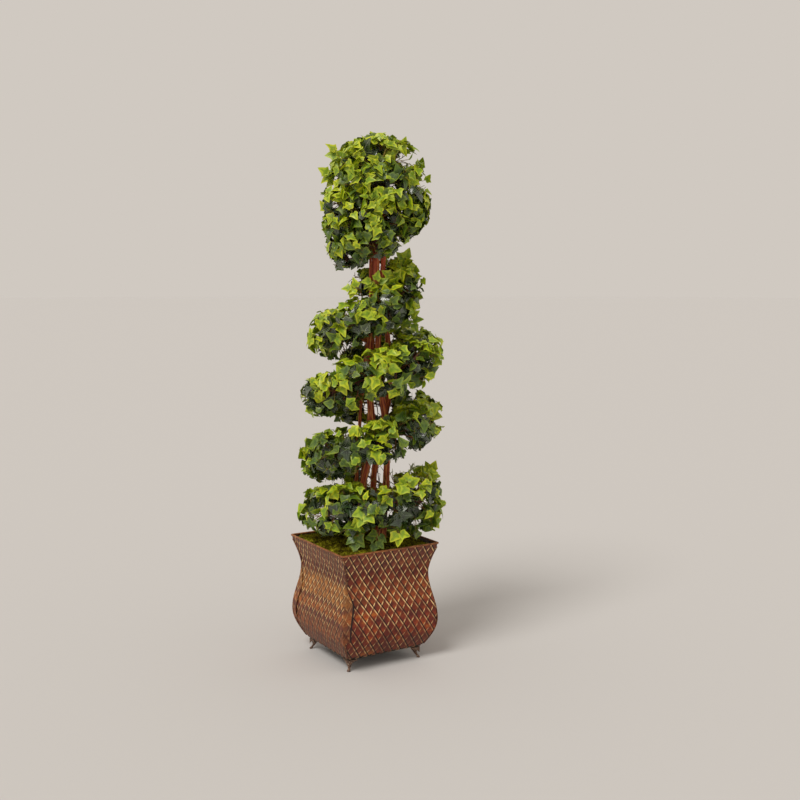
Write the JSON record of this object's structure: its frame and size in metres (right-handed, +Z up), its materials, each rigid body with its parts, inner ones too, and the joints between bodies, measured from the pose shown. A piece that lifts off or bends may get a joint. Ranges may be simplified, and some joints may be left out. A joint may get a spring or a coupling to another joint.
{
  "type": "artificial spiral ivy topiary in a square planter",
  "caption": "Artificial ivy trained as a rising spiral band with a tall head on woven stems, standing in a footed square embossed metal planter filled with moss.",
  "frame": {"origin": "middle of the whole plant's outline, on the ground under the planter's feet", "axes": "+Z up; the planter's front face looks along -Y and its left face along -X"},
  "size_m": [0.4044, 0.4098, 1.5],
  "materials": {
    "embossed_metal": "satin",
    "rim_metal": "satin",
    "foot_metal": "satin",
    "filling": "matte",
    "moss": "matte",
    "bark": "matte",
    "ivy_leaves": "satin"
  },
  "bodies": {
    "root": {"planter_shell": "embossed_metal", "planter_rim": "rim_metal", "planter_corner_lap_1": "embossed_metal", "planter_foot_1": "foot_metal", "planter_corner_lap_2": "embossed_metal", "planter_foot_2": "foot_metal", "planter_corner_lap_3": "embossed_metal", "planter_foot_3": "foot_metal", "planter_corner_lap_4": "embossed_metal", "planter_foot_4": "foot_metal", "trunk_stem_1": "bark", "trunk_stem_2": "bark", "trunk_stem_3": "bark", "trunk_stem_4": "bark", "trunk_stem_5": "bark", "planter_filling": "filling", "moss": "moss", "bough_turn_1_quarter_1": "bark", "foliage_turn_1_quarter_1": "ivy_leaves", "bough_turn_1_quarter_2": "bark", "foliage_turn_1_quarter_2": "ivy_leaves", "bough_turn_1_quarter_3": "bark", "foliage_turn_1_quarter_3": "ivy_leaves", "bough_turn_1_quarter_4": "bark", "foliage_turn_1_quarter_4": "ivy_leaves", "bough_turn_2_quarter_1": "bark", "foliage_turn_2_quarter_1": "ivy_leaves", "bough_turn_2_quarter_2": "bark", "foliage_turn_2_quarter_2": "ivy_leaves", "bough_turn_2_quarter_3": "bark", "foliage_turn_2_quarter_3": "ivy_leaves", "bough_turn_2_quarter_4": "bark", "foliage_turn_2_quarter_4": "ivy_leaves", "bough_turn_3_quarter_1": "bark", "foliage_turn_3_quarter_1": "ivy_leaves", "bough_turn_3_quarter_2": "bark", "foliage_turn_3_quarter_2": "ivy_leaves", "bough_turn_3_quarter_3": "bark", "foliage_turn_3_quarter_3": "ivy_leaves", "bough_turn_3_quarter_4": "bark", "foliage_turn_3_quarter_4": "ivy_leaves", "bough_turn_4_quarter_1": "bark", "foliage_turn_4_quarter_1": "ivy_leaves", "bough_turn_4_quarter_2": "bark", "foliage_turn_4_quarter_2": "ivy_leaves", "bough_turn_4_quarter_3": "bark", "foliage_turn_4_quarter_3": "ivy_leaves", "bough_turn_4_quarter_4": "bark", "foliage_turn_4_quarter_4": "ivy_leaves", "foliage_head_quarter_1": "ivy_leaves", "foliage_head_quarter_2": "ivy_leaves", "foliage_head_quarter_3": "ivy_leaves", "foliage_head_quarter_4": "ivy_leaves", "foliage_head_top": "ivy_leaves"}
  },
  "joints": []
}
